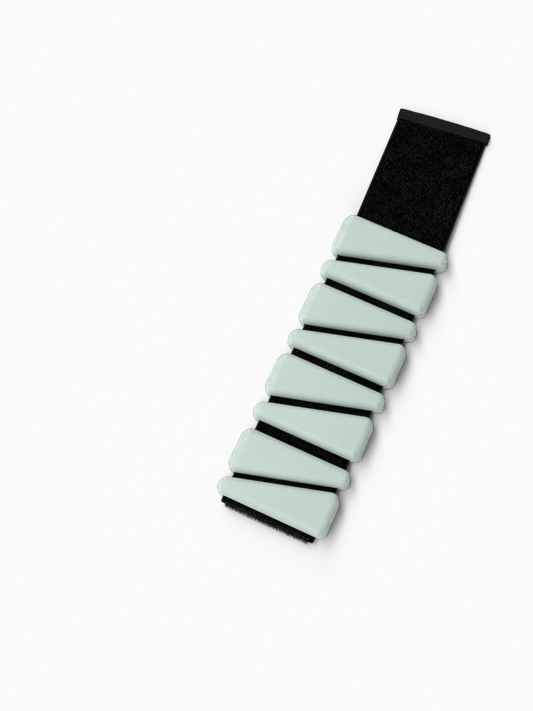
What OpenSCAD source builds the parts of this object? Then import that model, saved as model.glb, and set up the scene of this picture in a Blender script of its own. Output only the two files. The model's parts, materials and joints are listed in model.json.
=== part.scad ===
// Ankle cuff weight: eight silicone-covered steel wedges strung on one wide elastic band.
// The cuff lies flat on its underside, wedges up. +X runs along the band towards the fastening
// tail, +Y runs across it, and the origin is the middle of the footprint.

/* [Band] */
// Width of the elastic band
band_w = 50; // [40:0.5:54]
// Thickness of the elastic band
band_t = 2; // [1.6:0.1:2.2]
// Height of the band's middle above the underside, inside the wedges
band_z = 4.4; // [4.3:0.1:4.8]
// Length of the free tail, from the first wedge to the edge of the hem
tail_l = 74.3; // [70:0.1:90]
// How far the tail lies turned towards +Y, in degrees
tail_turn = 2.5; // [0:0.5:3]

/* [Wedges] */
// Length of a wedge, across the band
wedge_l = 59.6; // [58:0.2:66]
// Width of a wedge at its wide end, along the band
wedge_w = 23.4; // [22:0.2:26]
// Height of a wedge
wedge_h = 12.5; // [12.3:0.1:15]
// Corner radius at the wide end
wide_r = 5.2; // [4.8:0.1:7]
// Radius of the round narrow end
narrow_r = 4.6; // [4.4:0.1:6]
// Fillet round the top face
top_fillet = 4; // [3:0.1:4.2]
// Fillet round the underside
foot_fillet = 2.4; // [1.5:0.1:2.8]
// Gaps between the wedges as they lie, square to their sides, from the tail to the hook end
gaps = [4.2, 4.9, 3.9, 4.7, 4.3, 5.9, 3.0]; // [3:0.1:6]

/* [Steel cores] */
// Silicone left beside the steel core
core_wall = 2; // [1.8:0.1:3]
// Height of the core's underside
core_z = 6.9; // [6.8:0.1:7.2]
// Thickness of the core
core_t = 4.4; // [2:0.1:4.4]

/* [Fastening] */
// Depth of the hem's binding tape, along the band
hem_d = 6.5; // [5:0.1:10]
// How much wider the binding tape is than the band, both sides together
hem_extra = 2.6; // [1:0.1:4]
// How far the hem is sewn out of square with the tail, in degrees
hem_skew = 4; // [0:0.5:5]
// Thickness of the binding tape
hem_t = 0.45; // [0.3:0.05:0.6]
// Stitches in the hem's zigzag
hem_stitches = 28; // [10:2:40]
// Width of the hook tape, across the band
hook_w = 45; // [30:0.5:47]
// Length of hook tape under the last wedge
hook_l = 11.5; // [6:0.5:12]
// Thickness of the hook tape's woven base
hook_base = 0.6; // [0.4:0.1:0.7]
// Stitches in the row at the folded end
hook_stitches = 22; // [10:1:30]
// Thickness of the sewing thread
thread = 0.3; // [0.2:0.05:0.3]
// Height of the hooks on the tape
hook_pile = 1.2; // [0.6:0.1:1.2]

/* [Movement] */
// Greatest bend at a slanted gap, in degrees
slanted_bend = 14; // [0:1:14]
// Room between pieces that move past each other
play = 0.3; // [0.2:0.05:0.4]

/* [Hidden] */
$fn = 48;
WEDGES = 8;
TAIL_PIECES = 5;

// --- The wedge's plan: its square side lies on x = 0, its wide end is at +Y ---
wide_y = wedge_l / 2 - wide_r;
narrow_y = -(wedge_l / 2 - narrow_r);
side_run = wedge_w - wide_r - narrow_r;
side_rise = wide_y - narrow_y;
slant = atan2(side_run, side_rise)
    + asin((wide_r - narrow_r) / norm([side_run, side_rise]));
// Width of the wedge on the band's centre line
mid_w = wedge_w - wide_r + wide_r / cos(slant) - wide_y * tan(slant);

// --- Places along the band, measured from the first wedge's square side towards the hook end ---
function is_slanted(gap) = gap % 2 == 1;
function gap_run(gap) = is_slanted(gap) ? gaps[gap - 1] / cos(slant) : gaps[gap - 1];
function wedge_start(i) = i == 1 ? 0 : wedge_start(i - 1) + mid_w + gap_run(i - 1);
function hinge_run(gap) = wedge_start(gap) + mid_w + gap_run(gap) / 2;
column_l = wedge_start(WEDGES) + mid_w;
// How far the band and the hooks reach past the last wedge
end_reach = 2.8;
fold_r = 1.6;
fold_z = band_z + band_t / 2 - fold_r;
// Where the hook tape starts on the fold, in degrees from +X towards +Z
hook_start = 115;
hook_reach = end_reach + hook_base + hook_pile;
tail_hinge = 3;
tail_run = tail_l - tail_hinge;
hem_w = band_w + hem_extra;
hem_angle = tail_turn + hem_skew;
tail_reach = tail_hinge + (tail_run - hem_d / 2) * cos(tail_turn)
    + hem_d / 2 * cos(hem_angle) + hem_w / 2 * sin(hem_angle);
// The first wedge's square side, with the whole cuff centred on the origin
x_first = (column_l + hook_reach - tail_reach) / 2;
x_end = x_first - column_l - end_reach;
x_fold = x_end + fold_r;
function hinge_x(gap) = x_first - hinge_run(gap);

// --- The tail droops from its first hinge until its hem rests on the surface ---
tail_pitch = 13;
hem_z = band_t / 2 + hem_t;
hem_lift = 0.05;
droop = asin((band_z - hem_z - hem_lift) / (tail_run + hem_w / 2 * sin(hem_skew)));
x_tail = x_first + tail_hinge;

// --- The slot that the band passes through ---
// A little more than play, where a piece both slides and bends
ease = 0.1;
// How far a cutting solid reaches past what it cuts
cut = 1;
slot_half = band_t / 2 + play + ease;
slot_w = band_w + 2 * (play + ease);
band_end_gap = band_t / 2 + play;
// Greatest backward bend at a slanted gap, in degrees
backward_bend = 5;

// Layers in the wedge's rounded edges, above and below
fillet_steps = 6;
foot_steps = 4;

function arc(centre, radius, from, to, steps) = [
    for (k = [0:steps])
        centre + radius * [cos(from + (to - from) * k / steps), sin(from + (to - from) * k / steps)]
];

function wedge_points(inset) = concat(
    arc([-wide_r, wide_y], wide_r - inset, 0, 90, 8),
    arc([wide_r - wedge_w, wide_y], wide_r - inset, 90, 180 + slant, 9),
    arc([-narrow_r, narrow_y], narrow_r - inset, 180 + slant, 360, 14)
);

// Height and inset of every layer of the rounded wedge, from the underside up
layers = concat(
    [for (k = [foot_steps:-1:0]) fillet_step(90 * k / foot_steps, foot_fillet, false)],
    [for (k = [0:fillet_steps]) fillet_step(90 * k / fillet_steps, top_fillet, true)]
);
function fillet_step(angle, radius, top) = [
    top ? wedge_h - radius * (1 - sin(angle)) : radius * (1 - sin(angle)),
    radius * (1 - cos(angle))
];

// The wedge's plan stacked layer on layer, with rounded edges above and below
module rounded_wedge() {
    ring = len(wedge_points(0));
    rings = len(layers);
    points = [for (layer = layers) for (p = wedge_points(layer[1])) [p.x, p.y, layer[0]]];
    sides = [
        for (j = [0:rings - 2])
            for (k = [0:ring - 1])
                let (next = (k + 1) % ring)
                    [j * ring + k, (j + 1) * ring + k, (j + 1) * ring + next, j * ring + next]
    ];
    underside = [for (k = [0:ring - 1]) k];
    top_face = [for (k = [ring - 1:-1:0]) (rings - 1) * ring + k];
    polyhedron(points, concat(sides, [underside, top_face]));
}

// The slot opens out past the bend line on the slanted side, where the band dips and rises
module band_slot(gap) {
    slide = gap_run(gap) / 2 - play - ease;
    bend_x = -(mid_w + gap_run(gap) / 2) + slide;
    far_x = -wedge_w - cut;
    drop = (bend_x - far_x) * tan(slanted_bend);
    rise = (bend_x - far_x) * tan(backward_bend);
    translate([0, slot_w / 2, band_z])
        rotate([90, 0, 0])
            linear_extrude(slot_w)
                polygon([
                    [cut, -slot_half],
                    [cut, slot_half],
                    [bend_x, slot_half],
                    [far_x, slot_half + rise],
                    [far_x, -slot_half - drop],
                    [bend_x, -slot_half]
                ]);
}

module core_plate() {
    translate([0, 0, core_z])
        linear_extrude(core_t)
            polygon(wedge_points(core_wall));
}

// The last wedge's underside is hollowed over the hook tape
module hook_channel() {
    channel_w = hook_w + 4 * play;
    reach = hook_l + 5 * play;
    height = fold_z - fold_r + play;
    translate([-reach, -channel_w / 2, -cut])
        cube([reach + cut, channel_w, height + cut]);
}

// Puts a wedge where it belongs: odd ones have the wide end at +Y, even ones are turned round
module place_wedge(i) {
    if (i % 2 == 1)
        translate([x_first - wedge_start(i), 0, 0]) children();
    else
        translate([x_first - wedge_start(i) - mid_w, 0, 0]) rotate([0, 0, 180]) children();
}

module weight_cover(i) {
    gap = i % 2 == 1 ? i : i - 1;
    color([0.76, 0.83, 0.79])
        place_wedge(i)
            difference() {
                rounded_wedge();
                band_slot(gap);
                core_plate();
                if (i == WEDGES) hook_channel();
            }
}

module steel_core(i) {
    color([0.55, 0.56, 0.58])
        place_wedge(i)
            core_plate();
}

// A flat length of band whose high end is turned out of square
module flat_band(x_low, x_high, turn) {
    lead = band_w / 2 * tan(turn);
    translate([0, 0, -band_t / 2])
        linear_extrude(band_t)
            polygon([
                [x_low, -band_w / 2],
                [x_high + lead, -band_w / 2],
                [x_high - lead, band_w / 2],
                [x_low, band_w / 2]
            ]);
}

// A length of band with a round end on the bend line at x_high, and a clear end past x_low
module band_piece(x_low, x_high, turn = 0) {
    color([0.09, 0.09, 0.1]) {
        flat_band(x_low, x_high, turn);
        translate([x_high, 0, 0])
            rotate([90, 0, turn])
                cylinder(h = band_w, r = band_t / 2, center = true);
    }
}

module band_link(i) {
    x_high = i == 1 ? x_tail : hinge_x(i - 1);
    x_low = i == WEDGES ? x_fold : hinge_x(i) + band_end_gap;
    translate([0, 0, band_z])
        band_piece(x_low, x_high, i == 1 ? tail_turn : 0);
    if (i == WEDGES) band_fold();
}

// The band's end is folded under, which makes it rounder and deeper than the rest
module band_fold() {
    color([0.09, 0.09, 0.1])
        translate([x_fold, 0, fold_z])
            rotate([90, 0, 0])
                intersection() {
                    cylinder(h = band_w, r = fold_r, center = true);
                    translate([-fold_r, -fold_r, -band_w])
                        cube([fold_r, 2 * fold_r, 2 * band_w]);
                }
}

// Children are drawn along +X from the tail's first hinge, and lie on its slope
module place_tail() {
    translate([x_tail, 0, band_z])
        rotate([0, droop, tail_turn])
            children();
}

// Children are drawn round the middle of the hem, square to it
module place_hem() {
    place_tail()
        translate([tail_run - hem_d / 2, 0, 0])
            rotate([0, 0, hem_skew])
                children();
}

module tail_band(k) {
    low = (k - 1) * tail_pitch + band_end_gap;
    place_tail()
        if (k < TAIL_PIECES)
            band_piece(low, k * tail_pitch);
        else
            tail_end(low);
}

// The last length of tail, cut along the hem
module tail_end(low) {
    color([0.09, 0.09, 0.1])
        flat_band(low, tail_run - hem_d / 2 + (hem_d / 2 - hem_t) / cos(hem_skew), hem_skew);
}

// Binding tape folded round the tail's end
module hem_binding() {
    color([0.16, 0.16, 0.17])
        difference() {
            place_hem()
                translate([-hem_d / 2, -hem_w / 2, -hem_z])
                    cube([hem_d, hem_w, 2 * hem_z]);
            place_tail()
                tail_end(0);
        }
}

// Thread lying on the hem in a zigzag along its inner edge
module hem_stitching() {
    edge = 1;
    pitch = (band_w - 2 * edge) / hem_stitches;
    zigzag = 1.6;
    lean = atan2(zigzag, pitch);
    color([0.2, 0.2, 0.21])
        place_hem()
            for (k = [0:hem_stitches - 1])
                translate([zigzag - hem_d / 2, (k + 0.5) * pitch + edge - band_w / 2, hem_z])
                    rotate([0, 0, k % 2 == 0 ? lean : -lean])
                        translate([-thread / 2, -pitch / 2, 0])
                            cube([thread, pitch, thread]);
}

// Everything in the hook tape's section is drawn in X and Z, then pulled out across the band
module across_band(width) {
    translate([0, width / 2, 0])
        rotate([90, 0, 0])
            linear_extrude(width)
                children();
}

// Part of a ring round the folded end, running on flat under the last wedge
module wrapped_section(inner, outer) {
    flat_l = end_reach - fold_r + hook_l;
    translate([x_fold, fold_z])
        polygon(concat(
            arc([0, 0], outer, hook_start, 270, 20),
            [[flat_l, -outer], [flat_l, -inner]],
            arc([0, 0], inner, 270, hook_start, 20)
        ));
}

module hook_tape() {
    color([0.07, 0.07, 0.08])
        across_band(hook_w)
            wrapped_section(fold_r, fold_r + hook_base);
}

module hook_pile() {
    color([0.12, 0.12, 0.13])
        across_band(hook_w - 1)
            wrapped_section(fold_r + hook_base, fold_r + hook_base + hook_pile);
}

// A row of stitches holds the folded end down
module hook_stitching() {
    edge = 2;
    pitch = (band_w - 2 * edge) / hook_stitches;
    stitch_l = 0.7 * pitch;
    color([0.2, 0.2, 0.21])
        for (k = [0:hook_stitches - 1])
            translate([x_fold + thread, k * pitch + edge - band_w / 2, band_z + band_t / 2])
                cube([thread, stitch_l, 0.7 * thread]);
}

for (i = [1:WEDGES]) {
    weight_cover(i);
    steel_core(i);
    band_link(i);
}
for (k = [1:TAIL_PIECES])
    tail_band(k);
hem_binding();
hem_stitching();
hook_tape();
hook_pile();
hook_stitching();
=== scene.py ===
import json
import math

import bpy
import numpy as np
from mathutils import Matrix, Vector

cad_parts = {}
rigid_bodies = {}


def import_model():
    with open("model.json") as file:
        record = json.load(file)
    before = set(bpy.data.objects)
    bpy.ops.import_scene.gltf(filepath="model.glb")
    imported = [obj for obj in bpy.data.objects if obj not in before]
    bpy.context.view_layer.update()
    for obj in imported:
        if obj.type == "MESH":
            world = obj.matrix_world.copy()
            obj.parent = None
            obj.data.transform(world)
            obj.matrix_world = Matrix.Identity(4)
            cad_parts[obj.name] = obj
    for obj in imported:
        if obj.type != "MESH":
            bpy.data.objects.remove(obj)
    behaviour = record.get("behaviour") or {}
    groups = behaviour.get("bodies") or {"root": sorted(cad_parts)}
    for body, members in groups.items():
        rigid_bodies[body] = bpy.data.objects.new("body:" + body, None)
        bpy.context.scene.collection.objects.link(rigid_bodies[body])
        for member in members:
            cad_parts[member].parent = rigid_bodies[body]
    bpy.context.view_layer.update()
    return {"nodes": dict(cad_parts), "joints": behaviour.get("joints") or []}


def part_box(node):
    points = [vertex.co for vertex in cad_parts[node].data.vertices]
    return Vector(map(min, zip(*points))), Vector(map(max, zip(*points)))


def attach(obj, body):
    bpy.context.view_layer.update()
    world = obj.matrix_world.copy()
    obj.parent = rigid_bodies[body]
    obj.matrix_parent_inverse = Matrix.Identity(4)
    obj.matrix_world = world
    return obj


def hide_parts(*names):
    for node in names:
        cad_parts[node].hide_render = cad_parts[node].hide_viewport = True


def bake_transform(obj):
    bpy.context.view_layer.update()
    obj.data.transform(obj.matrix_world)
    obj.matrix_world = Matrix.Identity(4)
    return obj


# The ankle cuff weight's looks: silicone wedges on a loop-pile elastic band, with a bound hem at
# one end and hook tape at the other. Lengths are in metres. A band position is its distance
# along the band from the tail's first hinge, towards the hem, so the wedges are at negative ones.

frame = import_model()
scene = bpy.context.scene

MM = 0.001
X_AXIS = np.array([1.0, 0, 0])
Y_AXIS = np.array([0, 1.0, 0])
Z_AXIS = np.array([0, 0, 1.0])
WEDGES = 8
GAPS = WEDGES - 1
TAIL_PIECES = 5
rng = np.random.default_rng(11)

# --- Places and sizes that the frame gives ---
joints = {joint["name"]: joint for joint in frame["joints"]}


def hinge_place(name):
    return np.array(joints[name]["pos_m"], float)


gap_hinges = {gap: hinge_place(f"bend_{gap}_{gap + 1}") for gap in range(1, WEDGES)}
tail_hinges = {k: hinge_place(f"tail_bend_{k}") for k in range(1, TAIL_PIECES + 1)}
tail_origin = tail_hinges[1]
tail_span = tail_hinges[TAIL_PIECES] - tail_origin
tail_forward = tail_span / np.linalg.norm(tail_span)
tail_side = np.array(joints["tail_bend_1"]["axis"], float)
tail_pitch = np.linalg.norm(tail_span) / (TAIL_PIECES - 1)

cover_low, cover_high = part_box("weight_cover_1")
link_low, link_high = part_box("band_link_2")
x_first = cover_high.x
wedge_l = cover_high.y - cover_low.y
wedge_w = cover_high.x - cover_low.x
wedge_h = cover_high.z
band_w = link_high.y - link_low.y
band_t = link_high.z - link_low.z
band_z = (link_high.z + link_low.z) / 2
fold_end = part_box("band_link_8")[0].x
hook_low, hook_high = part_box("hook_tape")
hook_half_w = (hook_high.y - hook_low.y) / 2

# --- Sizes that the frame only implies ---
WIDE_R = 5.2 * MM
NARROW_R = 4.6 * MM
FOLD_R = 1.6 * MM
HEM_D = 6.5 * MM
HEM_T = 0.45 * MM
HEM_HALF_W = 25.2 * MM
HEM_SKEW = math.radians(4)
TAIL_RUN = 72.9 * MM
HOOK_BASE = 0.6 * MM
HOOK_START = math.radians(103)
half_w = band_w / 2
half_t = band_t / 2
fold_centre = np.array([fold_end + FOLD_R, 0, band_z + half_t - FOLD_R])


# --- Small helpers ---
def smooth(t):
    t = np.clip(t, 0, 1)
    return t * t * (3 - 2 * t)


def unit(v):
    return v / np.linalg.norm(v, axis=-1, keepdims=True)


def ripple(x, y, seed, scale):
    """A smooth wandering value between about -1 and 1, the same at each run."""
    turn = np.random.default_rng(seed).uniform(0, 2 * math.pi, 8)
    total = 0
    for k in range(4):
        angle = turn[k]
        reach = (x * math.cos(angle) + y * math.sin(angle)) / (scale * (0.6 + 0.35 * k))
        total = total + np.sin(2 * math.pi * reach + turn[k + 4])
    return total / 2.6


def ring_faces(rings, count):
    """The faces between rings of count points each."""
    faces = []
    for j in range(rings - 1):
        for k in range(count):
            after = (k + 1) % count
            faces.append((j * count + k, j * count + after, (j + 1) * count + after, (j + 1) * count + k))
    return faces


def end_faces(rings, count):
    """The two faces that close the first and the last ring."""
    return [tuple(reversed(range(count))), tuple((rings - 1) * count + k for k in range(count))]


def mesh_object(name, points, faces, material, flat=False):
    """A new object with one material or a list of them."""
    mesh = bpy.data.meshes.new(name)
    mesh.from_pydata([tuple(p) for p in points], [], [tuple(f) for f in faces])
    mesh.validate()
    if not flat:
        mesh.shade_smooth()
    for one in material if isinstance(material, list) else [material]:
        mesh.materials.append(one)
    piece = bpy.data.objects.new(name, mesh)
    scene.collection.objects.link(piece)
    return piece


class Soup:
    """Gathers many small closed shapes into one mesh."""

    def __init__(self):
        self.points = []
        self.faces = []
        self.slots = []
        self.count = 0

    def add(self, points, faces, slot=0):
        self.points.append(np.asarray(points, float))
        # A quad with two corners in one place becomes a triangle
        self.faces += [tuple(dict.fromkeys(int(k) + self.count for k in face)) for face in faces]
        self.slots.extend([slot] * len(faces))
        self.count += len(points)

    def tube(self, path, radius, sides=5, slot=0, tip=1.0):
        """A round thread along a path, thinning to tip times its radius at the far end."""
        path = np.asarray(path, float)
        along = unit(np.gradient(path, axis=0))
        start = Z_AXIS if abs(along[0][2]) < 0.9 else Y_AXIS
        across = unit(np.cross(along, start))
        upward = np.cross(along, across)
        count = len(path)
        radii = radius * np.linspace(1, tip, count)
        turns = (np.arange(sides) * 2 * math.pi / sides)[None, :, None]
        outward = np.cos(turns) * across[:, None] + np.sin(turns) * upward[:, None]
        rings = path[:, None] + radii[:, None, None] * outward
        self.add(rings.reshape(-1, 3), ring_faces(count, sides) + end_faces(count, sides), slot)

    def build(self, name, material):
        piece = mesh_object(name, np.vstack(self.points), self.faces, material)
        piece.data.polygons.foreach_set("material_index", self.slots)
        return piece


# --- Materials ---
def fill(node, **values):
    """Sets a node's inputs, each named with _ for a space."""
    for key, value in values.items():
        node.inputs[key.replace("_", " ")].default_value = value


class Look:
    """Builds one node material step by step."""

    def __init__(self, name):
        self.material = bpy.data.materials.new(name)
        self.material.use_nodes = True
        self.tree = self.material.node_tree
        self.shader = self.tree.nodes["Principled BSDF"]
        self.place = self.tree.nodes.new("ShaderNodeTexCoord").outputs["Object"]

    def node(self, kind, **values):
        made = self.tree.nodes.new(kind)
        for key, value in values.items():
            setattr(made, key, value)
        return made

    def link(self, out, into):
        self.tree.links.new(out, into)

    def set(self, **values):
        fill(self.shader, **values)

    def noise(self, scale, detail=2.0, rough=0.5, stretch=None):
        source = self.place
        if stretch:
            mapping = self.node("ShaderNodeMapping")
            fill(mapping, Scale=stretch)
            self.link(self.place, mapping.inputs["Vector"])
            source = mapping.outputs["Vector"]
        made = self.node("ShaderNodeTexNoise")
        fill(made, Scale=scale, Detail=detail, Roughness=rough)
        self.link(source, made.inputs["Vector"])
        return made.outputs["Fac"]

    def wave(self, scale, direction, distortion=0.0, detail_scale=1.0):
        made = self.node("ShaderNodeTexWave", wave_type="BANDS", bands_direction=direction)
        fill(made, Scale=scale, Distortion=distortion, Detail_Scale=detail_scale)
        self.link(self.place, made.inputs["Vector"])
        return made.outputs["Fac"]

    def ramp(self, source, *stops):
        made = self.node("ShaderNodeValToRGB")
        ends = made.color_ramp.elements
        while len(ends) < len(stops):
            ends.new(0.5)
        for end, (place, colour) in zip(ends, stops):
            end.position = place
            end.color = (*colour, 1)
        self.link(source, made.inputs["Fac"])
        return made.outputs["Color"]

    def math(self, operation, first, second):
        made = self.node("ShaderNodeMath", operation=operation)
        for socket, value in zip(made.inputs, (first, second)):
            if isinstance(value, (int, float)):
                socket.default_value = value
            else:
                self.link(value, socket)
        return made.outputs["Value"]

    def mix(self, amount, first, second, blend="MIX"):
        made = self.node("ShaderNodeMix", data_type="RGBA", blend_type=blend)
        sockets = (made.inputs[0], made.inputs[6], made.inputs[7])
        for socket, value in zip(sockets, (amount, first, second)):
            if isinstance(value, (int, float)):
                socket.default_value = value
            elif isinstance(value, tuple):
                socket.default_value = (*value, 1)
            else:
                self.link(value, socket)
        return made.outputs[2]

    def bump(self, height, strength, distance, under=None):
        made = self.node("ShaderNodeBump")
        fill(made, Strength=strength, Distance=distance)
        self.link(height, made.inputs["Height"])
        if under is not None:
            self.link(under, made.inputs["Normal"])
        return made.outputs["Normal"]

    def finish(self, colour=None, roughness=None, normal=None):
        for source, name in ((colour, "Base Color"), (roughness, "Roughness"), (normal, "Normal")):
            if source is not None:
                self.link(source, self.shader.inputs[name])
        return self.material


def grey(value):
    return (value, value, value)


def silicone_look():
    """Matt soft-touch silicone: cloudy pigment, faint dust, and paler sharp edges, partly dust and partly
    a painted edge highlight.
    """
    look = Look("sage_silicone")
    look.set(Specular_IOR_Level=0.4)
    look.set(Sheen_Weight=0.6, Sheen_Roughness=0.4, Sheen_Tint=(0.86, 0.95, 0.9, 1))
    look.set(Subsurface_Weight=0.6, Subsurface_Scale=1.4 * MM, Subsurface_Radius=(1, 1, 1))
    clouds = look.noise(38, 3)
    tone = look.ramp(clouds, (0.3, (0.366, 0.445, 0.398)), (0.7, (0.382, 0.461, 0.414)))
    speck = look.ramp(look.noise(900, 1), (0.69, grey(0)), (0.75, grey(1)))
    patch = look.ramp(look.noise(55, 2), (0.45, grey(0)), (0.7, grey(0.28)))
    dust = look.math("MULTIPLY", speck, patch)
    colour = look.mix(dust, tone, (0.6, 0.66, 0.62))
    # Paler along sharply convex edges: partly dust, partly a painted highlight on the rims
    edge = look.node("ShaderNodeNewGeometry").outputs["Pointiness"]
    painted_edge_light_and_dust = look.ramp(edge, (0.5, grey(0)), (0.62, grey(0.35)))
    colour = look.mix(painted_edge_light_and_dust, colour, (0.48, 0.56, 0.51))
    rough = look.ramp(look.noise(70, 4), (0.3, grey(0.5)), (0.7, grey(0.62)))
    grain = look.bump(look.noise(2600, 3, 0.6), 0.12, 0.00005)
    normal = look.bump(look.noise(160, 2), 0.06, 0.0004, grain)
    return look.finish(colour, rough, normal)


def pile_look():
    """The elastic's brushed loop face: black yarn, painted paler on the loops' crests as a painted
    highlight, more on some loops than on others.
    """
    look = Look("loop_pile")
    look.set(Specular_IOR_Level=0.004, Roughness=0.9)
    # Painted highlight: the paleness that the band carries follows each loop's height, lighter at its
    # crest
    painted_crest_light = look.node("ShaderNodeAttribute", attribute_name="tip").outputs["Fac"]
    yarn = look.noise(1300, 3, 0.6, (0.4, 1, 1))
    shown = look.math("MULTIPLY", painted_crest_light, look.math("ADD", yarn, 0.5))
    tone = look.ramp(shown, (0.12, grey(0.0001)), (0.45, grey(0.005)), (0.85, (0.028, 0.032, 0.029)))
    haze = look.ramp(look.noise(70, 2), (0.35, grey(0.45)), (0.65, grey(1.0)))
    colour = look.mix(1.0, tone, haze, "MULTIPLY")
    normal = look.bump(yarn, 0.5, 0.00015)
    return look.finish(colour, None, normal)


def fibre_look():
    """Loose loops standing out of the pile; most are black, a few, picked at random, are paler grey."""
    look = Look("pile_fibres")
    look.set(Specular_IOR_Level=0.25, Roughness=0.5)
    island = look.node("ShaderNodeNewGeometry").outputs["Random Per Island"]
    tone = look.ramp(island, (0.0, grey(0.001)), (0.62, grey(0.004)), (0.9, grey(0.02)),
                     (1.0, grey(0.07)))
    shade = look.ramp(look.noise(900, 1), (0.3, grey(0.5)), (0.7, grey(1)))
    return look.finish(look.mix(1.0, tone, shade, "MULTIPLY"))


def selvedge_look():
    """The woven border and the back of the elastic: fine twill, a little brown where it is rubbed."""
    look = Look("elastic_weave")
    look.set(Specular_IOR_Level=0.06, Roughness=0.75, Sheen_Weight=0.02)
    twill = look.wave(420, "DIAGONAL", 1.2, 2.0)
    rib = look.wave(300, "X", 0.6, 2.0)
    weave = look.math("MULTIPLY", twill, rib)
    wear = look.noise(240, 2)
    tone = look.ramp(weave, (0.1, (0.0018, 0.0017, 0.0016)), (0.9, (0.0085, 0.0074, 0.0064)))
    rubbed = look.ramp(wear, (0.45, grey(0.6)), (0.75, grey(1.2)))
    colour = look.mix(1.0, tone, rubbed, "MULTIPLY")
    normal = look.bump(weave, 0.6, 0.0001)
    return look.finish(colour, None, normal)


def binding_look():
    """Charcoal grosgrain binding tape, with a slight brown cast and lint."""
    look = Look("binding_tape")
    look.set(Specular_IOR_Level=0.1, Roughness=0.78, Sheen_Weight=0.03, Sheen_Roughness=0.4)
    rib = look.wave(330, "Y", 0.5, 2.0)
    cross = look.wave(700, "X", 0.4, 2.0)
    weave = look.math("MULTIPLY", rib, cross)
    tone = look.ramp(weave, (0.05, (0.005, 0.0048, 0.0043)), (0.8, (0.0116, 0.0111, 0.0099)))
    cloud = look.ramp(look.noise(120, 3), (0.3, grey(0.75)), (0.7, grey(1.1)))
    colour = look.mix(1.0, tone, cloud, "MULTIPLY")
    lint = look.ramp(look.noise(1100, 1), (0.72, grey(0)), (0.8, grey(0.5)))
    colour = look.mix(lint, colour, (0.035, 0.033, 0.03))
    normal = look.bump(weave, 0.5, 0.00012)
    return look.finish(colour, None, normal)


def thread_look():
    look = Look("sewing_thread")
    look.set(Specular_IOR_Level=0.14, Roughness=0.65)
    twist = look.wave(1400, "DIAGONAL", 0.3)
    colour = look.ramp(twist, (0.2, grey(0.002)), (0.9, (0.009, 0.008, 0.0075)))
    return look.finish(colour, None, look.bump(twist, 0.5, 0.00006))


def nylon_look():
    """Glossy black nylon hooks; some, picked at random, are painted pale brown-grey all over as painted
    glints.
    """
    look = Look("nylon_hooks")
    look.set(Specular_IOR_Level=0.2)
    island = look.node("ShaderNodeNewGeometry").outputs["Random Per Island"]
    # Painted glints: a random share of the hooks is painted pale in place of the light their tips catch
    tone = look.ramp(island, (0.0, grey(0.001)), (0.4, grey(0.01)),
                     (0.75, (0.1, 0.095, 0.085)), (1.0, (0.32, 0.3, 0.27)))
    rough = look.ramp(look.noise(1500, 1), (0.3, grey(0.18)), (0.7, grey(0.4)))
    return look.finish(tone, rough)


def hook_base_look():
    look = Look("hook_tape_weave")
    look.set(Specular_IOR_Level=0.05, Roughness=0.8)
    weave = look.math("MULTIPLY", look.wave(520, "Y", 0.4), look.wave(520, "X", 0.4))
    colour = look.ramp(weave, (0.1, grey(0.001)), (0.9, grey(0.004)))
    return look.finish(colour, None, look.bump(weave, 0.6, 0.0001))


def steel_look():
    """Sheared mild steel plate with a rolled grain."""
    look = Look("steel_plate")
    look.set(Metallic=1.0)
    grain = look.noise(900, 4, 0.6, (1, 0.04, 1))
    colour = look.ramp(grain, (0.3, (0.36, 0.37, 0.38)), (0.7, (0.56, 0.57, 0.58)))
    rust = look.ramp(look.noise(210, 4, 0.7), (0.62, grey(0)), (0.74, grey(0.6)))
    colour = look.mix(rust, colour, (0.24, 0.15, 0.1))
    rough = look.ramp(grain, (0.3, grey(0.32)), (0.7, grey(0.5)))
    return look.finish(colour, rough, look.bump(grain, 0.2, 0.00005))


silicone = silicone_look()
pile = pile_look()
fibres = fibre_look()
selvedge = selvedge_look()
binding = binding_look()
thread = thread_look()
nylon = nylon_look()
hook_base = hook_base_look()
steel = steel_look()


# --- Camera, light and floor ---
CAMERA_TILT = math.radians(17.0)
CAMERA_TURN = math.radians(65.2)
CAMERA_AWAY = 0.5966
CAMERA_LENS = 58.2
CAMERA_TARGET = Vector((x_first - 0.0877, 0.0366, 0))
LIGHT_AWAY = 1.4
LIGHT_LEAN = math.radians(25)
FAR_BOX_LEAN = math.radians(50)
NEAR_BOX_LEAN = math.radians(60)
FLOOR_REACH = 3.0


def make_camera():
    """Looks down at the cuff as the photograph does. Gives the picture's up and right on the floor."""
    up = Vector((math.sin(CAMERA_TURN), math.cos(CAMERA_TURN), 0))
    view = up * math.sin(CAMERA_TILT) - Vector((0, 0, math.cos(CAMERA_TILT)))
    data = bpy.data.cameras.new("camera")
    data.lens = CAMERA_LENS
    data.clip_start = 0.01
    camera = bpy.data.objects.new("camera", data)
    camera.location = CAMERA_TARGET - view * CAMERA_AWAY
    camera.rotation_euler = view.to_track_quat("-Z", "Y").to_euler()
    scene.collection.objects.link(camera)
    scene.camera = camera
    return up, Vector((math.cos(CAMERA_TURN), -math.sin(CAMERA_TURN), 0))


def soft_box(name, ahead, outward, long, wide, power):
    """A soft light outward from the cuff's middle, facing it, its long side lying along the view."""
    data = bpy.data.lights.new(name, "AREA")
    data.shape = "RECTANGLE"
    data.size = long
    data.size_y = wide
    data.energy = power
    data.color = (1.0, 0.995, 0.99)
    light = bpy.data.objects.new(name, data)
    outward = outward.normalized()
    across = outward.cross(ahead).normalized()
    lengthways = across.cross(outward)
    light.location = outward * LIGHT_AWAY
    light.rotation_euler = Matrix((lengthways, across, outward)).transposed().to_euler()
    scene.collection.objects.link(light)


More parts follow.
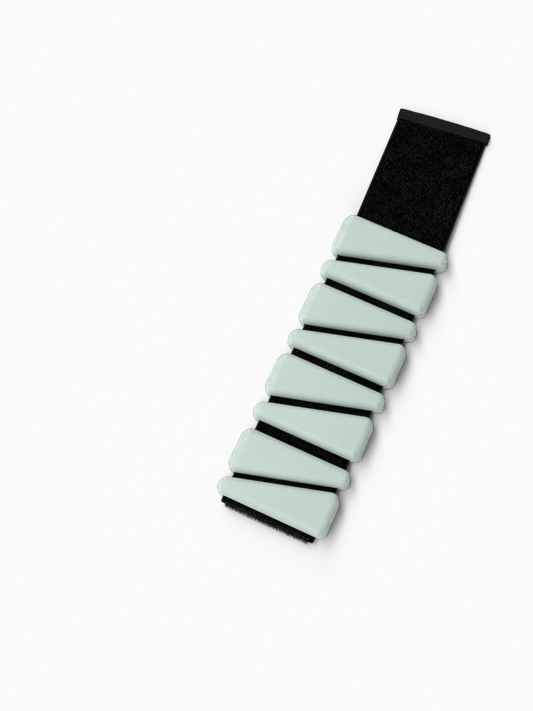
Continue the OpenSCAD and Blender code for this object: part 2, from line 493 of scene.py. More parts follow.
def make_light(ahead, right):
    """A long strip overhead, a box beyond each end of it, all to the left, and a pale surround."""
    leaning = Vector((0, 0, 1)) - right * math.tan(LIGHT_LEAN)
    far = leaning + ahead * math.tan(FAR_BOX_LEAN)
    near = leaning - ahead * math.tan(NEAR_BOX_LEAN)
    soft_box("strip", ahead, leaning, long=1.8, wide=0.4, power=26.8)
    soft_box("far_box", ahead, far, long=0.8, wide=0.6, power=6.5)
    soft_box("near_box", ahead, near, long=0.8, wide=0.6, power=6.5)
    world = bpy.data.worlds.new("surround")
    world.use_nodes = True
    nodes = world.node_tree.nodes
    links = world.node_tree.links
    seen = nodes["Background"]
    fill(seen, Color=(0.956, 0.956, 0.958, 1))
    lighting = nodes.new("ShaderNodeBackground")
    fill(lighting, Color=(0.98, 0.99, 1.0, 1), Strength=0.15)
    ray = nodes.new("ShaderNodeLightPath")
    choose = nodes.new("ShaderNodeMixShader")
    links.new(ray.outputs["Is Camera Ray"], choose.inputs[0])
    links.new(lighting.outputs[0], choose.inputs[1])
    links.new(seen.outputs[0], choose.inputs[2])
    links.new(choose.outputs[0], nodes["World Output"].inputs["Surface"])
    scene.world = world
    scene.view_settings.view_transform = "Standard"


def make_floor():
    """A pale surface that only shows what falls on it."""
    look = Look("pale_floor")
    look.set(Specular_IOR_Level=0.1)
    colour = look.ramp(look.noise(6, 2), (0.3, grey(0.8)), (0.7, grey(0.82)))
    rough = look.ramp(look.noise(40, 2), (0.3, grey(0.8)), (0.7, grey(0.9)))
    material = look.finish(colour, rough)
    corners = [(x * FLOOR_REACH, y * FLOOR_REACH, 0) for x, y in ((-1, -1), (1, -1), (1, 1), (-1, 1))]
    floor = mesh_object("floor", corners, [(0, 1, 2, 3)], material)
    floor.is_shadow_catcher = True
    return floor


def keep_under(floor, pieces):
    """Keeps the floor under the lowest of the pieces, so that it hides nothing of a bent cuff."""
    group = bpy.data.node_groups.new("under_the_lowest_point", "GeometryNodeTree")
    group.interface.new_socket("Geometry", in_out="INPUT", socket_type="NodeSocketGeometry")
    group.interface.new_socket("Geometry", in_out="OUTPUT", socket_type="NodeSocketGeometry")
    nodes = group.nodes
    links = group.links
    join = nodes.new("GeometryNodeJoinGeometry")
    for piece in pieces:
        info = nodes.new("GeometryNodeObjectInfo")
        info.transform_space = "RELATIVE"
        fill(info, Object=piece)
        links.new(info.outputs["Geometry"], join.inputs["Geometry"])
    box = nodes.new("GeometryNodeBoundBox")
    links.new(join.outputs["Geometry"], box.inputs["Geometry"])
    split = nodes.new("ShaderNodeSeparateXYZ")
    links.new(box.outputs["Min"], split.inputs["Vector"])
    lowest = nodes.new("ShaderNodeMath")
    lowest.operation = "MINIMUM"
    lowest.inputs[1].default_value = 0.0
    links.new(split.outputs["Z"], lowest.inputs[0])
    offset = nodes.new("ShaderNodeCombineXYZ")
    links.new(lowest.outputs["Value"], offset.inputs["Z"])
    move = nodes.new("GeometryNodeTransform")
    links.new(nodes.new("NodeGroupInput").outputs["Geometry"], move.inputs["Geometry"])
    links.new(offset.outputs["Vector"], move.inputs["Translation"])
    links.new(move.outputs["Geometry"], nodes.new("NodeGroupOutput").inputs["Geometry"])
    floor.modifiers.new("under", "NODES").node_group = group


ahead, right = make_camera()
make_light(ahead, right)
floor = make_floor()


# --- The wedges ---
def wedge_slant():
    """How far the slanted side, which touches both end arcs, turns from straight across."""
    run = wedge_w - WIDE_R - NARROW_R
    rise = wedge_l - WIDE_R - NARROW_R
    return math.atan2(run, rise) + math.asin((WIDE_R - NARROW_R) / math.hypot(run, rise))


slant = wedge_slant()
wide_y = wedge_l / 2 - WIDE_R
narrow_y = NARROW_R - wedge_l / 2
# How wide a wedge is half way along it
mid_w = wedge_w - WIDE_R + WIDE_R / math.cos(slant) - wide_y * math.tan(slant)

FOOT_R = 1.2 * MM
TOP_R = 3.9 * MM
LEDGE_Z = 6.5 * MM
LEDGE_IN = 0.55 * MM
LEDGE_ROUND = 0.15 * MM
SIDE_ROUND = 3.3 * MM
WIDE_ROUND = 4.5 * MM
NARROW_ROUND = 3.6 * MM
SIDE_TUCK = 0.4 * MM
SIDE_TUCK_DROP = 3.2 * MM
SLOT_PLAY = 0.4 * MM
SLOT_FLARE_IN = 0.3 * MM
SLOT_DROP = math.radians(14)
SLOT_RISE = math.radians(5)
CORE_IN = 1.98 * MM
CORE_LOW = 6.88 * MM
CORE_HIGH = 11.32 * MM
CHANNEL_REACH = 13 * MM
CHANNEL_TOP = 2.5 * MM
CHANNEL_HALF_W = 23.1 * MM


def wedge_outline():
    """Arc centres, radii and outward directions round the wedge's plan, wide end at +Y."""
    # The square corner, the one between wide end and slanted side, and the whole narrow end, each
    # with its centre, its radius, its angles and the steps its arc is made of
    corners = [
        ((-WIDE_R, wide_y), WIDE_R, 0, math.pi / 2, 20),
        ((WIDE_R - wedge_w, wide_y), WIDE_R, math.pi / 2, math.pi + slant, 24),
        ((-NARROW_R, narrow_y), NARROW_R, math.pi + slant, 2 * math.pi, 34),
    ]
    rows = np.array([
        (*centre, radius, math.cos(angle), math.sin(angle))
        for centre, radius, start, end, steps in corners
        for angle in np.linspace(start, end, steps + 1)
    ])
    return rows[:, :2], rows[:, 2], rows[:, 3:]


def wedge_layers():
    """Height, inset, and shares of the moulding ledge and top rounding for each ring, from below."""
    rows = []
    for a in np.linspace(math.pi / 2, 0, 9):
        rows.append((FOOT_R * (1 - math.sin(a)), FOOT_R * (1 - math.cos(a)), 0, 0))
    rows += [
        (LEDGE_Z - LEDGE_ROUND, 0, 0, 0),
        (LEDGE_Z - LEDGE_ROUND * 0.3, LEDGE_ROUND * 0.3, 0, 0),
        (LEDGE_Z, LEDGE_ROUND, 0, 0),
        (LEDGE_Z + LEDGE_ROUND * 0.4, LEDGE_ROUND * 0.5, 0.75, 0),
        (LEDGE_Z + LEDGE_ROUND, LEDGE_ROUND * 0.3, 1, 0),
    ]
    for height in np.linspace(LEDGE_Z + 2 * LEDGE_ROUND, wedge_h - TOP_R, 5, endpoint=False):
        rows.append((height, 0, 1, 0))
    for a in np.linspace(0, math.pi / 2, 16):
        rows.append((wedge_h - TOP_R * (1 - math.sin(a)), 0, 1, 1 - math.cos(a)))
    return rows


def wedge_solid(name):
    """The moulded cover before its slot and core pocket are cut. The ledge shows at the ends only."""
    centres, radii, outward = wedge_outline()
    at_ends = smooth((np.abs(outward[:, 1]) - 0.3) / 0.6)
    end_round = np.where(outward[:, 1] > 0, WIDE_ROUND, NARROW_ROUND)
    rounding = SIDE_ROUND + (end_round - SIDE_ROUND) * at_ends
    rings = []
    for height, inset, ledge, rounded in wedge_layers():
        tuck = SIDE_TUCK * smooth((wedge_h - TOP_R - height) / SIDE_TUCK_DROP)
        shaped = ledge * LEDGE_IN * at_ends + tuck * (1 - at_ends) + rounded * rounding
        radius = np.maximum(radii - inset - shaped, 0.05 * MM)
        plan = centres + outward * radius[:, None]
        rings.append(np.column_stack([plan, np.full(len(plan), height)]))
    sizes = (len(rings), len(radii))
    return mesh_object(name, np.vstack(rings), ring_faces(*sizes) + end_faces(*sizes), silicone)


def prism(section, reach):
    """A section in X and height above the band, drawn out to reach on each side."""
    points = [(x, side * reach, band_z + z) for side in (-1, 1) for x, z in section]
    count = len(section)
    faces = [tuple(range(count)), tuple(reversed(range(count, 2 * count)))]
    faces += [(k, k + count, (k + 1) % count + count, (k + 1) % count) for k in range(count)]
    return points, faces


def slot_cutter():
    """What the band passes through; it opens out on the slanted side, as the band dips there."""
    half = half_t + SLOT_PLAY
    bend_x = -mid_w - SLOT_PLAY - SLOT_FLARE_IN
    far_x = -wedge_w - MM
    drop = (bend_x - far_x) * math.tan(SLOT_DROP)
    rise = (bend_x - far_x) * math.tan(SLOT_RISE)
    section = [(MM, -half), (MM, half), (bend_x, half), (far_x, half + rise),
               (far_x, -half - drop), (bend_x, -half)]
    return prism(section, half_w + SLOT_PLAY)


def core_cutter():
    """The pocket round the steel core, a hair larger than the plate."""
    centres, radii, outward = wedge_outline()
    plan = (centres + outward * (radii - CORE_IN)[:, None])[::2]
    count = len(plan)
    points = [(x, y, z) for z in (CORE_LOW, CORE_HIGH) for x, y in plan]
    faces = [tuple(reversed(range(count))), tuple(range(count, 2 * count))]
    faces += [(k, (k + 1) % count, (k + 1) % count + count, k + count) for k in range(count)]
    return points, faces


def channel_cutter():
    """The hollow over the hook tape, under the last wedge."""
    top = CHANNEL_TOP - band_z
    bottom = -band_z - MM
    section = [(MM, bottom), (MM, top), (-CHANNEL_REACH, top), (-CHANNEL_REACH, bottom)]
    return prism(section, CHANNEL_HALF_W)


def cut(piece, cutters):
    """Takes the cutting solids out of the piece, for good."""
    for points, faces in cutters:
        tool = mesh_object("cutter", points, faces, silicone, flat=True)
        change = piece.modifiers.new("cut", "BOOLEAN")
        change.operation = "DIFFERENCE"
        change.solver = "EXACT"
        change.object = tool
        shaped = piece.evaluated_get(bpy.context.evaluated_depsgraph_get())
        settled = bpy.data.meshes.new_from_object(shaped)
        piece.modifiers.clear()
        piece.data = settled
        bpy.data.objects.remove(tool)


def make_covers():
    """The eight covers, every second one turned half round."""
    for i in range(1, WEDGES + 1):
        cover = wedge_solid(f"silicone_cover_{i}")
        cutters = [slot_cutter(), core_cutter()]
        if i == WEDGES:
            cutters.append(channel_cutter())
        cut(cover, cutters)
        low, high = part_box(f"weight_cover_{i}")
        square_side, turned = (high.x, 1) if i % 2 == 1 else (low.x, -1)
        points = np.zeros(len(cover.data.vertices) * 3)
        cover.data.vertices.foreach_get("co", points)
        points = points.reshape(-1, 3)
        points[:, :2] *= turned
        points[:, 0] += square_side
        cover.data.vertices.foreach_set("co", points.ravel())
        cover.data.set_sharp_from_angle(angle=math.radians(38))
        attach(cover, f"weight_{i}")
        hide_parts(f"weight_cover_{i}")


def dress_cores():
    """The cores stay as the frame has them, and only get their steel."""
    for i in range(1, WEDGES + 1):
        core = frame["nodes"][f"steel_core_{i}"]
        core.data.materials.clear()
        core.data.materials.append(steel)


make_covers()
dress_cores()


# --- The band ---
BEND_SPAN = 3 * MM
PILE_PITCH = 1.33 * MM
ROW_PITCH = 1.65 * MM
BORDER = 1.1 * MM
BORDER_SOFT = 0.5 * MM
LOOP_TALL = 0.2 * MM
TUFT_TALL = 0.05 * MM
PILE_SUNK = 0.14 * MM
RIB_PITCH = 1.1 * MM
RIB_DEEP = 0.05 * MM
GAP_LOOPS = 170
TAIL_LOOPS = 520
LOOPS_IN = 0.7 * MM
EDGE_STEPS = 8
COARSE_STEP = 1.5 * MM
SHOWN_PAST = 1.2 * MM
TAIL_SHOWN = -4 * MM
TAIL_LOOPS_FROM = -3 * MM
FOLD_SHOWN = 4 * MM


def find_gap_runs():
    """How far apart neighbouring wedges are, along the band's centre line."""
    runs = {}
    edge = x_first - mid_w
    for gap in range(1, WEDGES):
        runs[gap] = 2 * (edge - gap_hinges[gap][0])
        edge = edge - runs[gap] - mid_w
    return runs


gap_runs = find_gap_runs()


def is_slanted(gap):
    """Slanted sides face each other across every odd gap, and square sides across the others."""
    return gap % 2 == 1


def band_frame(s):
    """Middle, forward, side and upward directions of the band at each position s.

    The band turns smoothly into the tail's direction over BEND_SPAN on each side of its hinge.
    """
    s = np.asarray(s, float)
    u = np.clip((s + BEND_SPAN) / (2 * BEND_SPAN), 0, 1)
    run = np.where(s > BEND_SPAN, s, 2 * BEND_SPAN * (u**3 - u**4 / 2))
    run = np.where(s < -BEND_SPAN, 0, run)
    middle = tail_origin + (s - run)[:, None] * X_AXIS + run[:, None] * tail_forward
    t = smooth(u)[:, None]
    side = unit((1 - t) * Y_AXIS + t * tail_side)
    forward = unit((1 - t) * X_AXIS + t * tail_forward)
    up = np.cross(forward, side)
    return middle, forward, side, up


def across_places():
    """Where the band's vertices lie across it: close together at the rounded edges."""
    edge = half_w - half_t * (1 - np.cos(np.linspace(0, math.pi / 2, EDGE_STEPS)))
    inner = np.arange(-half_w + half_t, half_w - half_t + 1e-9, PILE_PITCH / 4)
    return np.concatenate([-edge[:-1], inner, edge[:-1][::-1]])


def loop_shade(column, row):
    """How pale each loop's tip is, from 0 to 1, scattered by the common sine hash."""
    scatter = np.sin(column * 12.9898 + row * 78.233) * 43758.5453
    return scatter - np.floor(scatter)


def pile_height(s, y):
    """The loop face's relief and its painted crest light: columns of loops along the band, wandering a
    little. Each loop is painted paler towards its crest, as a painted highlight, by a random amount per
    loop.
    """
    across = (y + 0.1 * PILE_PITCH * ripple(s, y * 0.3, 3, 9 * MM)) / PILE_PITCH
    column = np.round(across)
    along = s / ROW_PITCH + 0.5 * (column % 2) + 0.15 * ripple(s, y, 6, 5 * MM)
    row = np.round(along)
    ridge = np.cos(math.pi * (across - column)) ** 2
    loop = ridge * (0.7 + 0.3 * np.cos(2 * math.pi * (along - row)))
    tufts = 0.5 + 0.5 * ripple(s, y, 5, 1.7 * MM)
    inside = smooth((half_w - BORDER - np.abs(y)) / BORDER_SOFT)
    # Painted highlight: paler where the loop stands highest, times a random tone per loop
    tip = inside * loop * (0.5 + 0.5 * loop_shade(column, row))
    return inside * (LOOP_TALL * loop + TUFT_TALL * tufts - PILE_SUNK), tip


def rib_height(s):
    """The flat back's cross ribs."""
    return RIB_DEEP * (np.abs(np.sin(math.pi * s / RIB_PITCH)) - 1)


def band_sheet(s, middle, side, upper, shear=None):
    """A closed length of band: points, faces, material slots and each point's painted crest light, a
    painted highlight on the loops' crests.

    upper is the vector from the band's middle to its top face, and shear what moves it out of
    square, for each position s.
    """
    y = across_places()
    past_flat = np.clip(np.abs(y) - (half_w - half_t), 0, None) / half_t
    rounding = np.sqrt(np.clip(1 - past_flat**2, 0, 1))
    grid_s, grid_y = np.meshgrid(s, y, indexing="ij")
    up = unit(upper)
    base = middle[:, None] + side[:, None] * y[None, :, None]
    if shear is not None:
        base = base + shear[:, None, :] * y[None, :, None]
    lift = rounding[None, :, None] * upper[:, None]
    relief, tip = pile_height(grid_s, grid_y)
    top = base + lift + up[:, None] * (relief * rounding)[:, :, None]
    back = base - lift - up[:, None] * (rib_height(grid_s) * rounding)[:, :, None]
    columns, rows = grid_s.shape
    points = np.concatenate([top.reshape(-1, 3), back.reshape(-1, 3)])
    offset = columns * rows
    i, j = np.meshgrid(np.arange(columns - 1), np.arange(rows - 1), indexing="ij")
    a = (i * rows + j).ravel()
    quads_top = np.stack([a, a + rows, a + rows + 1, a + 1], 1)
    quads_back = np.stack([a + 1, a + rows + 1, a + rows, a], 1) + offset
    first = np.arange(rows - 1)
    last = first + (columns - 1) * rows
    first_end = np.stack([first, first + 1, first + 1 + offset, first + offset], 1)
    last_end = np.stack([last + offset, last + 1 + offset, last + 1, last], 1)
    faces = np.concatenate([quads_top, quads_back, first_end, last_end])
    # The rounded edges at y = -half_w and +half_w are shared by both faces
    merge = np.arange(len(points))
    for row in (0, rows - 1):
        ring = np.arange(columns) * rows + row
        merge[ring + offset] = ring
    faces = merge[faces]
    used, faces = np.unique(faces, return_inverse=True)
    faces = faces.reshape(-1, 4)
    points = points[used]
    painted_crest_light = np.concatenate([tip.ravel(), np.zeros(offset)])[used]
    # The pile lies between the top face's borders, and the back counts as border
    from_middle = np.concatenate([np.abs(grid_y).ravel(), np.full(offset, 1.0)])[used]
    slots = (from_middle[faces].mean(1) > half_w - BORDER).astype(int)
    return points, faces, slots, painted_crest_light


class Band:
    """One length of band, and the loose loops that stand out of its pile."""

    SLOT_OF_LOOPS = 2
    LOOP_FOOT = half_t - 0.06 * MM

    def __init__(self, s, middle, side, upper, shear=None):
        points, faces, slots, self.painted_crest_light = band_sheet(s, middle, side, upper, shear)
        self.soup = Soup()
        self.soup.add(points, faces)
        self.soup.slots = list(slots)

    def add_loop(self, frame_here, y, shortest, longest):
        """One brushed loop at y across the band, reaching so many mm each way from its middle."""
        middle, forward, side, up = frame_here
        heading = rng.normal(0, 0.5)
        step = math.cos(heading) * forward + math.sin(heading) * side
        tall = rng.uniform(0.12, 0.34) * MM
        reach = rng.uniform(shortest, longest) * MM
        turns = np.linspace(0, math.pi, 6)[:, None]
        foot = middle + side * y + up * self.LOOP_FOOT
        path = foot - step * reach * np.cos(turns) + up * tall * np.sin(turns)
        self.soup.tube(path, rng.uniform(0.03, 0.05) * MM, 3, self.SLOT_OF_LOOPS)

    def add_loops(self, count, s_low, s_high):
        """Loops scattered over a stretch with square ends."""
        s = rng.uniform(s_low, s_high, count)
        y = rng.uniform(-half_w + BORDER, half_w - BORDER, count)
        for frame_here, place in zip(zip(*band_frame(s)), y):
            self.add_loop(frame_here, place, 0.21, 0.455)

    def add_loops_aslant(self, count, s_low, s_high):
        """Loops scattered over a stretch whose ends follow the wedges' slanted sides."""
        for _ in range(count):
            y = rng.uniform(-half_w + BORDER, half_w - BORDER)
            s = rng.uniform(s_low, s_high) - y * math.tan(slant)
            self.add_loop([v[0] for v in band_frame([s])], y, 0.2, 0.45)

    def build(self, name):
        piece = self.soup.build(name, [pile, selvedge, fibres])
        # The tip attribute carries the painted crest light, a painted highlight on the loops' crests
        attribute = piece.data.attributes.new("tip", "FLOAT", "POINT")
        attribute.data.foreach_set("value", np.pad(self.painted_crest_light, (0, self.soup.count - len(self.painted_crest_light))))
        return piece


def link_middle(i):
    """The band position half way along a link, which is inside its wedge."""
    if i == 1:
        x = x_first - mid_w / 2
    elif i == WEDGES:
        x = gap_hinges[GAPS][0] - gap_runs[GAPS] / 2 - mid_w / 2
    else:
        x = (gap_hinges[i][0] + gap_hinges[i - 1][0]) / 2
    return x - tail_origin[0]


def gap_positions(gap):
    """Band positions in and round one gap, fine where it shows and coarse inside the wedges."""
    s_mid = gap_hinges[gap][0] - tail_origin[0]
    slanting = half_w * math.tan(slant) if is_slanted(gap) else 0
    reach = gap_runs[gap] / 2 + slanting + SHOWN_PAST
    low = link_middle(gap + 1)
    high = link_middle(gap)
    fine = np.arange(max(low, s_mid - reach), min(high, s_mid + reach), ROW_PITCH / 4)
    steps_before = max(2, int((fine[0] - low) / COARSE_STEP) + 1)
    steps_after = max(2, int((high - fine[-1]) / COARSE_STEP) + 2)
    before = np.linspace(low, fine[0], steps_before, endpoint=False)
    after = np.linspace(fine[-1], high, steps_after)[1:]
    return np.unique(np.concatenate([before, fine, after]))


def make_gap_band(gap):
    """The band from wedge to wedge, reaching from the middle of one link to the middle of the next, with
    loose loops in the gap.
    """
    s = gap_positions(gap)
    middle, _, side, up = band_frame(s)
    band = Band(s, middle, side, up * half_t)
    half_gap = gap_runs[gap] / 2
    loose = half_gap - LOOPS_IN
    hinge_x = gap_hinges[gap][0]
    s_mid = hinge_x - tail_origin[0]
    add_loops = band.add_loops_aslant if is_slanted(gap) else band.add_loops
    add_loops(GAP_LOOPS, s_mid - loose, s_mid + loose)
    piece = band.build(f"elastic_gap_{gap}")
    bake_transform(piece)
    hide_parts(f"band_link_{gap}")


def make_tail_band(k):
    """One length of tail, from the middle of the piece before its hinge to the middle of its own."""
    hinge_s = (k - 1) * tail_pitch
    high = hinge_s + tail_pitch / 2
    if k == 1:
        low = link_middle(1)
        shown = TAIL_SHOWN
    else:
        low = shown = hinge_s - tail_pitch / 2
    s = np.linspace(shown, high, int(round((high - shown) / (ROW_PITCH / 4))) + 1)
    if k == 1:
        s = np.concatenate([np.linspace(low, shown, 6, endpoint=False), s])
    middle, _, side, up = band_frame(s)
    band = Band(s, middle, side, up * half_t)
    band.add_loops(TAIL_LOOPS, max(low, TAIL_LOOPS_FROM), high)
    piece = band.build(f"elastic_tail_{k}")
    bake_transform(piece)
    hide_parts(f"tail_band_{k}")


def make_tail_end():
    """The last length of tail, drawn out of square towards the hem."""
    low = (TAIL_PIECES - 0.5) * tail_pitch
    high = TAIL_RUN - HEM_D / 2 + (HEM_D / 2 - HEM_T) / math.cos(HEM_SKEW)
    s = np.linspace(low, high, int(round((high - low) / (ROW_PITCH / 4))) + 1)
    middle, forward, side, up = band_frame(s)
    grow = smooth((s - low) / (high - HEM_D - low))
    shear = -forward * (math.tan(HEM_SKEW) * grow)[:, None]
    band = Band(s, middle, side, up * half_t, shear)
    band.add_loops(TAIL_LOOPS // 2, low, TAIL_RUN - HEM_D)
    piece = band.build("elastic_tail_end")
    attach(piece, f"tail_{TAIL_PIECES}")


def make_band_end():
    """The band's last length, folded under past the last wedge. Its inner face closes to a crease."""
    fold_x, _, fold_z = fold_centre
    s_fold = fold_x - tail_origin[0]
    shown = np.arange(s_fold, s_fold + FOLD_SHOWN, 0.25 * MM)
    hidden = np.linspace(s_fold + FOLD_SHOWN + 0.3 * MM, link_middle(WEDGES), 6)
    straight = np.concatenate([shown, hidden])[::-1]
    middle, _, side, up = band_frame(straight)
    turns = np.linspace(math.pi / 2, 1.5 * math.pi, 26)[1:]
    share = (turns - math.pi / 2) / math.pi
    outer = fold_centre + FOLD_R * np.stack([np.cos(turns), 0 * turns, np.sin(turns)], 1)
    crease_drop = band_z - half_t - (fold_z - FOLD_R) - 0.02 * MM
    inner_z = band_z - half_t - share * crease_drop
    inner = np.stack([np.full(len(turns), fold_x + 0.1 * MM * share), 0 * turns, inner_z], 1)
    middle = np.concatenate([middle, (outer + inner) / 2])
    upper = np.concatenate([up * half_t, (outer - inner) / 2])
    side = np.concatenate([side, np.tile(Y_AXIS, (len(turns), 1))])
    s = np.concatenate([straight, s_fold - FOLD_R * (turns - math.pi / 2)])
    piece = Band(s, middle, side, upper).build("elastic_end")
    piece.data.flip_normals()
    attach(piece, f"link_{WEDGES}")
    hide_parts(f"band_link_{WEDGES}")


for gap in range(1, WEDGES):
    make_gap_band(gap)
for k in range(1, TAIL_PIECES + 1):
    make_tail_band(k)
make_tail_end()
make_band_end()


# --- The hem ---
HEM_BOW = 0.55 * MM
HEM_RAGGED = 0.22 * MM
HEM_RIB = 0.03 * MM
HEM_RIB_PITCH = 0.55 * MM
HEM_SAG = 0.05 * MM
HEM_TAB = 0.6 * MM
HEM_TAB_RUN = 3 * MM
STITCH_PITCH = 1.75 * MM
STITCH_NEAR = 0.9 * MM
STITCH_FAR = 2.3 * MM
STITCH_RISE = 0.16 * MM
STITCH_SUNK = 0.04 * MM
THREAD_R = 0.13 * MM
END_IN = 1.5 * MM
END_LONG = 2.4 * MM
END_SPREAD = 0.5 * MM
END_DROOP = 0.7 * MM


def hem_frame():
    """Origin at the hem's middle, and its outward, sideways and upward directions."""
    middle, forward, side, up = (v[0] for v in band_frame([TAIL_RUN - HEM_D / 2]))
    outward = math.cos(HEM_SKEW) * forward + math.sin(HEM_SKEW) * side
    sideways = math.cos(HEM_SKEW) * side - math.sin(HEM_SKEW) * forward
    return middle, outward, sideways, up


def hem_section(y):
    """The folded tape's outer line at y, in depth and height, from its upper edge to its under one."""
    half_d = HEM_D / 2
    outer_z = half_t + HEM_T
    bow = HEM_BOW * (1 - (y / HEM_HALF_W) ** 2)
    turns = np.linspace(math.pi / 2, -math.pi / 2, 15)
    under_x = np.linspace(-half_d, half_d - outer_z, 12, endpoint=False)
    top_x = under_x.copy()
    top_x[0] += HEM_RAGGED * ripple(np.array([y]), np.array([0.0]), 8, 3 * MM)[0]
    depth = np.concatenate([
        top_x + bow * (top_x + half_d) / HEM_D,
        half_d - outer_z + bow + outer_z * np.cos(turns),
        (under_x + bow * (under_x + half_d) / HEM_D)[::-1],
    ])
    flat = np.full(len(under_x), outer_z)
    height = np.concatenate([flat, outer_z * np.sin(turns), -flat])
    return np.stack([depth, height], 1)


def hem_ring(y, middle, outward, sideways, up):
    """The folded tape's whole outline at y: outside with its ribs, and then inside."""
    outer = hem_section(y)
    along = np.gradient(outer, axis=0)
    normal = unit(np.stack([-along[:, 1], along[:, 0]], 1))
    rib = HEM_RIB * (0.5 + 0.5 * math.cos(2 * math.pi * y / HEM_RIB_PITCH))
    sag = HEM_SAG * ripple(outer[:, 0], np.full(len(outer), y), 9, 9 * MM)
    outside = outer + normal * (rib + sag)[:, None]
    inside = (outer - normal * HEM_T * 0.92)[::-1]
    section = np.concatenate([outside, inside])
    is_under = np.concatenate([outer, inside])[:, 1] < 0
    near_end = smooth((abs(y) - HEM_HALF_W + HEM_TAB_RUN) / HEM_TAB_RUN)
    reach = np.where(is_under, HEM_TAB, 0.0) * np.sign(y) * near_end
    return (middle + section[:, :1] * outward + (y + reach)[:, None] * sideways
            + section[:, 1:] * up)


def make_hem():
    """The binding tape. At both ends its under side sticks out a little further than its top."""
    places = np.linspace(-HEM_HALF_W, HEM_HALF_W, 212)
    rings = [hem_ring(y, *hem_frame()) for y in places]
    count = len(rings[0])
    faces = ring_faces(len(rings), count)
    last = (len(rings) - 1) * count
    for k in range(count // 2 - 1):
        quad = (k, k + 1, count - 2 - k, count - 1 - k)
        faces.append(quad[::-1])
        faces.append(tuple(last + corner for corner in quad))
    hem = mesh_object("hem_tape", np.vstack(rings), faces, binding)
    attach(hem, f"tail_{TAIL_PIECES}")
    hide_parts("hem_binding")


def add_zigzag(soup, middle, outward, sideways, up, height):
    """One thread from side to side of the hem's inner edge, rising a little in each stitch."""
    count = int(2 * (half_w - MM) / STITCH_PITCH)
    corners = [
        (-HEM_D / 2 + (STITCH_NEAR if k % 2 else STITCH_FAR), -half_w + MM + k * STITCH_PITCH)
        for k in range(count + 1)
    ]
    path = []
    for (x0, y0), (x1, y1) in zip(corners[:-1], corners[1:]):
        for t in np.linspace(0, 1, 8, endpoint=False):
            lift = height + STITCH_RISE * math.sin(math.pi * t) - STITCH_SUNK
            place = middle + outward * (x0 + (x1 - x0) * t) + sideways * (y0 + (y1 - y0) * t)
            path.append(place + up * lift)
    soup.tube(path, THREAD_R, 6)


def add_loose_ends(soup, middle, outward, sideways, up, height):
    """Three cut threads at each side of the hem, spreading and drooping."""
    t = np.linspace(0, 1, 7)[:, None]
    for side in (-sideways, sideways):
        for k in range(3):
            start = middle + side * (HEM_HALF_W - END_IN) + outward * (0.8 * k - 1.8) * MM
            drift = side * END_LONG * t + outward * END_SPREAD * (k - 1) * t**2
            sink = up * (height + 0.1 * MM - END_DROOP * t**2)
            soup.tube(start + drift + sink, 0.11 * MM, 5, tip=0.7)


def make_hem_stitching():
    """Zigzag thread along the hem's inner edge, with loose ends at both sides."""
    soup = Soup()
    height = half_t + HEM_T + 0.02 * MM
    add_zigzag(soup, *hem_frame(), height)
    add_loose_ends(soup, *hem_frame(), height)
    piece = soup.build("hem_zigzag_thread", thread)
    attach(piece, f"tail_{TAIL_PIECES}")
    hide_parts("hem_stitching")


# --- The hook tape ---
WEAVE_PITCH = 0.9 * MM
WEAVE_DEEP = 0.04 * MM
HOOK_PITCH = 0.95 * MM
HOOK_TALL = 1.15 * MM
HOOK_R = 0.09 * MM
CROOK = 0.24 * MM
RAGGED_UP_TO = 5 * MM
END_STITCHES = 22
END_STITCH_IN = 2 * MM


def find_hook_line():
    """The hook tape's own line, from the fold on: distances along it, places and outward directions."""
    turns = np.linspace(HOOK_START, 1.5 * math.pi, 40)
    outward = np.stack([np.cos(turns), 0 * turns, np.sin(turns)], 1)
    round_part = fold_centre + FOLD_R * outward
    flat_x = np.linspace(fold_centre[0] + 0.3 * MM, hook_high.x, 30)
    flat_part = np.stack([flat_x, 0 * flat_x, np.full(len(flat_x), fold_centre[2] - FOLD_R)], 1)
    places = np.concatenate([round_part, flat_part])
    outward = np.concatenate([outward, np.tile(-Z_AXIS, (len(flat_x), 1))])
    steps = np.linalg.norm(np.diff(places + outward * HOOK_BASE, axis=0), axis=1)
    return np.concatenate([[0], np.cumsum(steps)]), places, outward


hook_line = find_hook_line()
hook_line_length = hook_line[0][-1]


def on_hook_line(s):
    """Places and outward directions at distances s along the hook tape's line."""
    distance, places, outward = hook_line
    place = np.stack([np.interp(s, distance, places[:, k]) for k in range(3)], -1)
    out = np.stack([np.interp(s, distance, outward[:, k]) for k in range(3)], -1)
    return place, unit(out)


def slab_faces(columns, rows):
    """A closed slab's faces: a grid of points, the same grid again under it, and the rim."""
    under = columns * rows
    faces = []
    for i in range(columns - 1):
        for j in range(rows - 1):
            a = i * rows + j
            faces.append((a, a + 1, a + rows + 1, a + rows))
            faces.append((a + under, a + rows + under, a + rows + 1 + under, a + 1 + under))
    rim = list(range(rows))
    rim += [i * rows + rows - 1 for i in range(1, columns)]
    rim += [(columns - 1) * rows + j for j in range(rows - 2, -1, -1)]
    rim += [i * rows for i in range(columns - 2, 0, -1)]
    faces += [(b, a, a + under, b + under) for a, b in zip(rim, rim[1:] + rim[:1])]
    return faces


def make_hook_tape():
    """The woven base that the hooks stand in, thinner at its edges."""
    ys = np.linspace(-hook_half_w, hook_half_w, 150)
    s = np.linspace(0, hook_line_length, 70)
    place, out = on_hook_line(s)
    grid_s, grid_y = np.meshgrid(s, ys, indexing="ij")
    turn = 2 * math.pi / WEAVE_PITCH
    weave = WEAVE_DEEP * np.sin(turn * grid_s) * np.sin(turn * grid_y)
    edge = smooth((hook_half_w - np.abs(grid_y)) / (0.5 * MM)) * 0.25 + 0.75
    top = place[:, None] + out[:, None] * ((HOOK_BASE - 0.05 * MM) * edge + weave)[:, :, None]
    under = place[:, None] + out[:, None] * 0.03 * MM + np.zeros_like(top)
    for side in (top, under):
        side[:, :, 1] += ys
    points = np.concatenate([top.reshape(-1, 3), under.reshape(-1, 3)])
    tape = mesh_object("hook_tape_base", points, slab_faces(*grid_s.shape), hook_base)
    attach(tape, f"link_{WEDGES}")
    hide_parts("hook_tape")


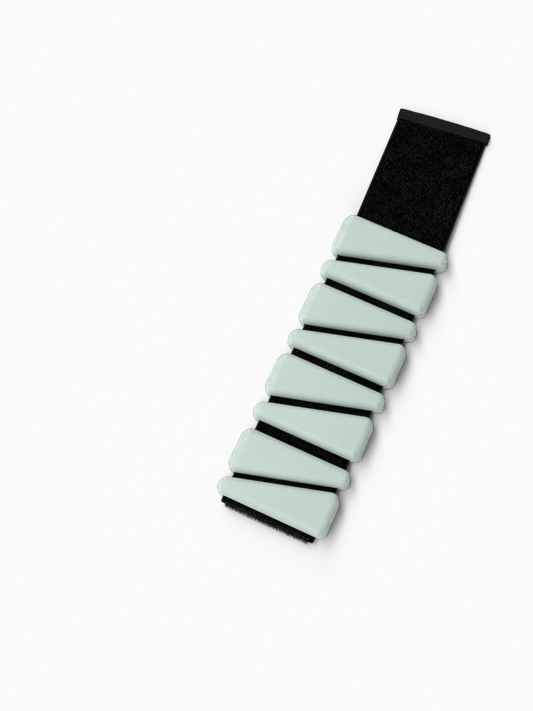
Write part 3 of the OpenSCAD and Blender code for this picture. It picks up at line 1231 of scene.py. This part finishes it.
def add_hook(soup, foot, stem, bent_to, tall):
    """One filament: a stem from its foot, and a crook that bends over towards bent_to."""
    shoulder = tall - CROOK
    path = [foot, foot + stem * tall * 0.45, foot + stem * shoulder]
    for a in np.linspace(0, 2.4, 5)[1:]:
        path.append(foot + stem * (shoulder + CROOK * math.sin(a)) + bent_to * CROOK * (1 - math.cos(a)))
    soup.tube(path, HOOK_R, 4, tip=0.75)


def make_hooks():
    """Rows of bent nylon hooks, ragged where they are rubbed at the fold."""
    half = hook_half_w - 0.25 * MM
    soup = Soup()
    row = 0
    s = 0.35 * MM
    while s < hook_line_length - 0.4 * MM:
        place, out = on_hook_line(s)
        along = np.cross(out, Y_AXIS)
        bent_to = along * (-1 if row % 4 < 2 else 1)
        ragged = 1 - smooth((s - RAGGED_UP_TO) / (2 * MM))
        y = -half + (HOOK_PITCH / 2 if row % 2 else 0)
        while y < half:
            tall = HOOK_TALL - ragged * rng.uniform(-0.2, 0.3) * MM
            tilt = rng.normal(0, 0.1 + 0.16 * ragged)
            slew = rng.normal(0, 0.08 + 0.14 * ragged)
            stem = unit(out + along * tilt + Y_AXIS * slew)
            beside = Y_AXIS * (y + rng.normal(0, 0.08) * MM)
            add_hook(soup, place + out * (HOOK_BASE - 0.1 * MM) + beside, stem, bent_to, tall)
            y += HOOK_PITCH
        s += HOOK_PITCH * 0.85
        row += 1
    piece = soup.build("nylon_hooks", nylon)
    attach(piece, f"link_{WEDGES}")
    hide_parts("hook_pile")


def make_hook_stitching():
    """The row of stitches that holds the folded end down."""
    soup = Soup()
    pitch = (band_w - 2 * END_STITCH_IN) / END_STITCHES
    t = np.linspace(0, 1, 7)[:, None]
    start = np.array([fold_centre[0] + 0.45 * MM, END_STITCH_IN - half_w, band_z + half_t - 0.05 * MM])
    for k in range(END_STITCHES):
        path = start + Y_AXIS * (k * pitch) + t * Y_AXIS * (0.72 * pitch)
        path[:, 2] += 0.17 * MM * np.sin(math.pi * t[:, 0])
        soup.tube(path, THREAD_R, 6)
    piece = soup.build("hook_end_thread", thread)
    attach(piece, f"link_{WEDGES}")
    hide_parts("hook_stitching")


make_hem()
make_hem_stitching()
make_hook_tape()
make_hooks()
make_hook_stitching()
low_pieces = [bpy.data.objects[f"silicone_cover_{i}"] for i in range(1, WEDGES + 1)]
low_pieces.append(bpy.data.objects["hem_tape"])
keep_under(floor, low_pieces)
